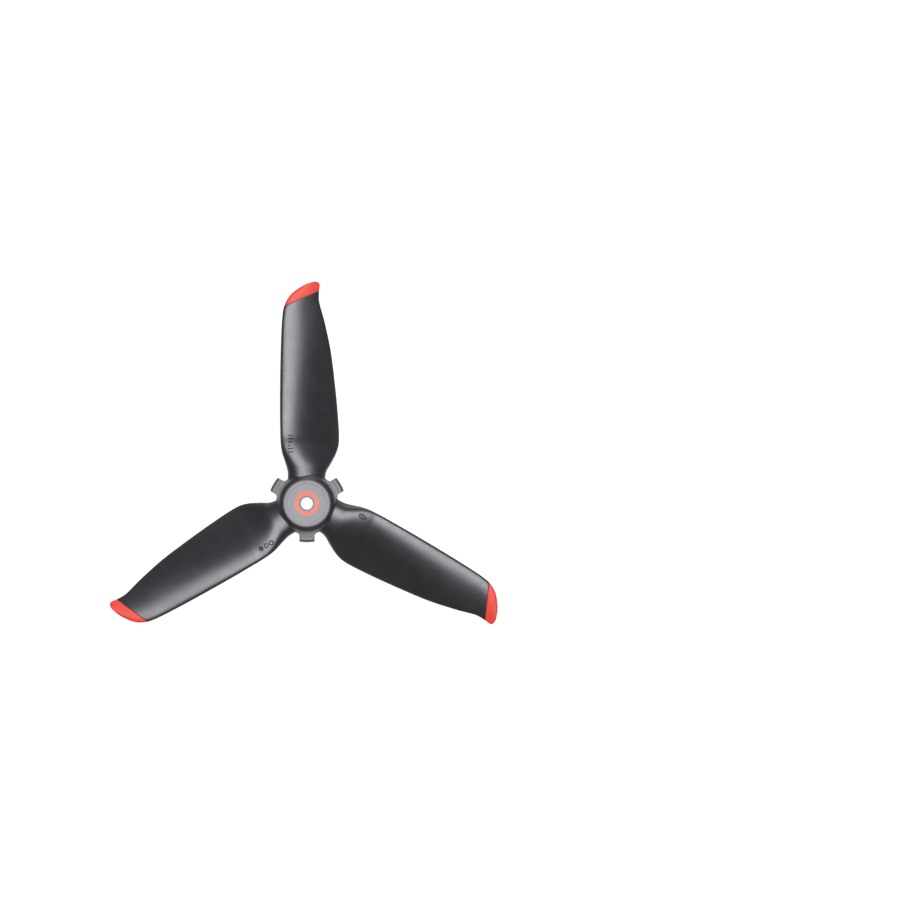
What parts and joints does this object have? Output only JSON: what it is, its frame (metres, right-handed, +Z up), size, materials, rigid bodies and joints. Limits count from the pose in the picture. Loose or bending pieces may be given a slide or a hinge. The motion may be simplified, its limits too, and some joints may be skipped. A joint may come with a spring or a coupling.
{
  "type": "drone propeller",
  "caption": "Quick-release drone propeller with broad twisted blades, coloured swept tips, a round capped hub and bayonet lugs underneath.",
  "frame": {"origin": "on the rotor axis in the bottom (seat) face of the lock plate, at the mouth of the motor recess", "axes": "+Z up the rotor axis, the way the thrust points; +Y along blade 1; the blades sweep counter-clockwise seen from +Z"},
  "size_m": [0.1174, 0.1038, 0.0082],
  "materials": {
    "hub_plastic": "satin moulded black",
    "blade_plastic": "satin black, soft sheen",
    "tip_orange": "satin orange-red",
    "cap_grey": "fine matte grey",
    "ring_orange": "matte orange",
    "plate_grey": "matte grey"
  },
  "bodies": {
    "root": {"hub_body": "hub_plastic", "blade_1": "blade_plastic", "blade_2": "blade_plastic", "blade_3": "blade_plastic", "tip_1": "tip_orange", "tip_2": "tip_orange", "tip_3": "tip_orange", "hub_cap": "cap_grey", "marker_ring": "ring_orange", "lock_plate": "plate_grey"}
  },
  "joints": []
}
